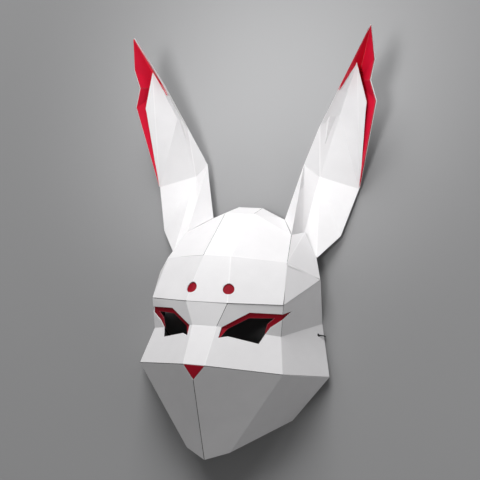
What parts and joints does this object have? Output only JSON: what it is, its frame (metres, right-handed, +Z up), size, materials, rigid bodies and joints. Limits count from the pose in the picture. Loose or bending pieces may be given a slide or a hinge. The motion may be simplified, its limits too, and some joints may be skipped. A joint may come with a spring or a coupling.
{
  "type": "rabbit mask",
  "caption": "Folded card rabbit half-helmet mask with long hollow ears, eye openings backed in red, a jaw guard and an elastic head cord",
  "frame": {"origin": "middle of the mask's bounding box, on the surface it lies on, without the cord", "axes": "+Z up out of the face, +Y toward the ear tips, +X to the right of someone who looks at the face"},
  "size_m": [0.2886, 0.4622, 0.1107],
  "materials": {
    "white_card": "matt",
    "red_card": "matt",
    "elastic": "braided"
  },
  "bodies": {
    "root": {"forehead": "white_card", "face": "white_card", "nose": "red_card", "jaw_left": "white_card", "jaw_right": "white_card", "ear_left": "white_card", "ear_right": "white_card", "ear_lining_left": "red_card", "ear_lining_right": "red_card", "eye_trim_left": "red_card", "eye_trim_right": "red_card", "brow_dot_left": "red_card", "brow_dot_right": "red_card", "cord_knot_left": "elastic", "cord_knot_right": "elastic", "elastic_cord": "elastic"}
  },
  "joints": []
}
